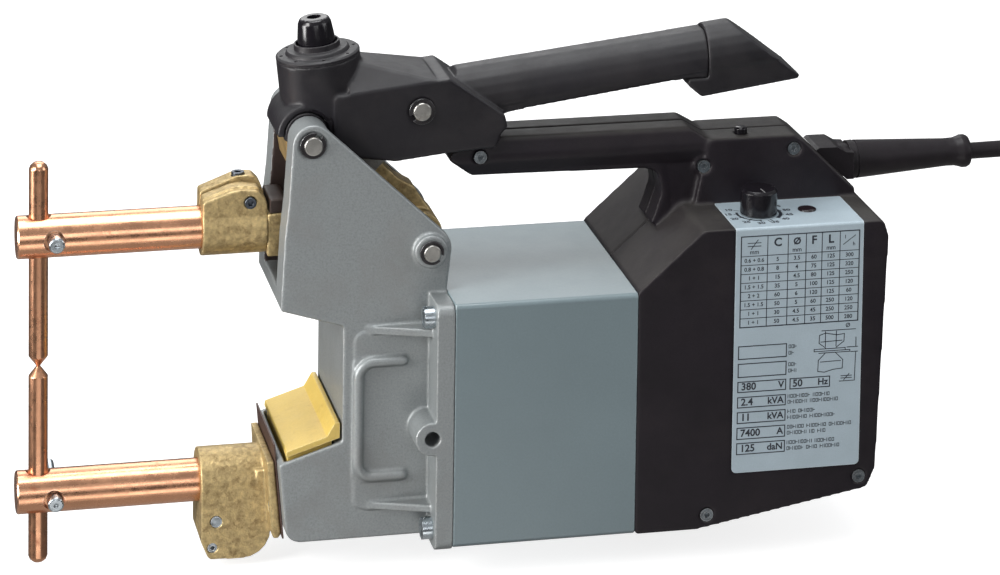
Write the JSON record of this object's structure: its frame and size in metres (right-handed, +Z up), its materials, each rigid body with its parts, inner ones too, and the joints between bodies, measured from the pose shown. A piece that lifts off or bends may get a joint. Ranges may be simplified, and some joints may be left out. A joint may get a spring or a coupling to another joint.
{
  "type": "portable spot welding gun",
  "caption": "Hand-held spot welding gun: copper arms with electrodes, cast frame, squeeze lever with adjustable force spring, boxed transformer and handled rear housing with weld timer.",
  "frame": {"origin": "the weld point, where the two electrode tips meet", "axes": "+X runs back along the tool to the supply cable, +Y to the side away from the control panel, +Z up along the electrodes"},
  "size_m": [0.5345, 0.1202, 0.283],
  "materials": {
    "copper": "polished copper with draw marks",
    "cast_brass": "raw sand-cast, bright worn edges",
    "bronze": "machined bronze",
    "cast_aluminium": "blasted casting",
    "zinc": "zinc plated",
    "steel": "ground steel",
    "black_steel": "blackened socket screws",
    "spring_steel": "dark spring steel",
    "core_steel": "laminated, varnished",
    "coil_wire": "enamelled winding",
    "painted_casing": "semi-gloss blue-grey paint",
    "panel_plate": "anodised pale blue label plate",
    "black_plastic": "fine grained",
    "gloss_black": "glossy",
    "white_plastic": "moulded",
    "laminate": "pressed insulating sheet",
    "yellow_insulation": "cast insulation",
    "dark_rubber": "moulded rubber",
    "black_rubber": "flexible",
    "circuit_board": "solder mask",
    "lens": "smoked lens"
  },
  "bodies": {
    "frame": {"lower_arm": "copper", "lower_electrode_bolt": "zinc", "lower_arm_holder": "cast_brass", "lower_holder_screws": "zinc", "lower_holder_studs": "zinc", "flange_insulator": "laminate", "terminal_cover": "yellow_insulation", "front_casting": "cast_aluminium", "arm_pivot_pin": "steel", "lever_pivot_pin": "steel", "frame_pin_rings": "spring_steel", "return_spring": "spring_steel", "copper_shunt": "copper", "shunt_bolts_frame": "zinc", "lower_busbar": "copper", "secondary_winding": "copper", "transformer_core": "core_steel", "primary_coils": "coil_wire", "core_bolts": "zinc", "transformer_casing": "painted_casing", "flange_screws": "zinc", "rear_housing_left": "black_plastic", "rear_housing_right": "black_plastic", "housing_screws": "zinc", "button_spring": "spring_steel", "microswitch": "black_plastic", "control_panel": "panel_plate", "timer_potentiometer": "steel", "timer_board": "circuit_board", "pilot_lens": "lens", "terminal_strip": "white_plastic", "cable_clamp": "black_plastic", "cable_boot": "black_rubber", "supply_cable": "black_rubber"},
    "arm_lever_body": {"arm_lever": "bronze", "stop_buffer": "dark_rubber", "upper_arm_holder": "cast_brass", "upper_holder_screws": "black_steel", "upper_arm": "copper", "upper_electrode_bolt": "zinc", "shunt_bolts_arm": "zinc", "lower_link_pin": "steel", "lower_link_rings": "spring_steel"},
    "link": {"link_plates": "steel"},
    "rocker_body": {"rocker": "bronze", "rod_pin": "steel", "link_pin": "steel", "link_pin_rings": "spring_steel"},
    "hand_lever_body": {"hand_lever": "black_plastic", "grip_end": "black_plastic", "spring_cap": "black_plastic", "pressure_spring": "spring_steel"},
    "rod_body": {"pull_rod": "steel"},
    "seat_body": {"spring_seat": "steel"},
    "knob_body": {"force_knob": "black_plastic"},
    "button_body": {"weld_button": "gloss_black"},
    "timer_body": {"timer_knob": "gloss_black"},
    "upper_electrode_body": {"upper_electrode": "copper"},
    "lower_electrode_body": {"lower_electrode": "copper"}
  },
  "joints": [
    {"name": "lever_open", "type": "hinge", "parent": "frame", "child": "rocker_body", "pos_m": [0.1363, 0, 0.1205], "axis": [0, -1, 0], "range_deg": [0, 12.6]},
    {"name": "arm_open", "type": "hinge", "parent": "frame", "child": "arm_lever_body", "pos_m": [0.198, 0, 0.062], "axis": [0, 1, 0], "range_deg": [0, 9.7], "deforming": ["copper_shunt"]},
    {"name": "link_swing", "type": "hinge", "parent": "arm_lever_body", "child": "link", "pos_m": [0.162, 0, 0.095], "axis": [0, -1, 0], "range_deg": [0, 24]},
    {"name": "squeeze", "type": "hinge", "parent": "rocker_body", "child": "hand_lever_body", "pos_m": [0.1959, 0, 0.131], "axis": [0, 1, 0], "range_deg": [0, 7]},
    {"name": "rod_slide", "type": "slide", "parent": "hand_lever_body", "child": "rod_body", "axis": [0.1158, 0, -0.9933], "range_m": [0, 0.0062], "deforming": ["pressure_spring"]},
    {"name": "knob_travel", "type": "slide", "parent": "rod_body", "child": "seat_body", "axis": [0.1158, 0, -0.9933], "range_m": [0, 0.0025]},
    {"name": "knob_turn", "type": "hinge", "parent": "seat_body", "child": "knob_body", "pos_m": [0.1455, 0, 0.152], "axis": [0.1158, 0, -0.9933], "range_deg": [0, 720]},
    {"name": "button_press", "type": "slide", "parent": "frame", "child": "button_body", "axis": [0, 0, -1], "range_m": [0, 0.0025], "stiffness_N_per_m": 400, "deforming": ["button_spring"]},
    {"name": "timer_turn", "type": "hinge", "parent": "frame", "child": "timer_body", "pos_m": [0.3742, -0.038, 0.0716], "axis": [0, 0, -1], "range_deg": [0, 300]},
    {"name": "upper_electrode_set", "type": "slide", "parent": "arm_lever_body", "child": "upper_electrode_body", "axis": [0, 0, 1], "range_m": [0, 0.02]},
    {"name": "lower_electrode_set", "type": "slide", "parent": "frame", "child": "lower_electrode_body", "axis": [0, 0, -1], "range_m": [0, 0.02]}
  ],
  "couplings": [
    {"joint": "arm_open", "follows": "lever_open", "ratio": 0.757},
    {"joint": "link_swing", "follows": "lever_open", "ratio": 1.838},
    {"joint": "rod_slide", "follows": "squeeze", "m_per_rad": 0.0479},
    {"joint": "knob_turn", "follows": "knob_travel", "rad_per_m": 5026.5}
  ]
}
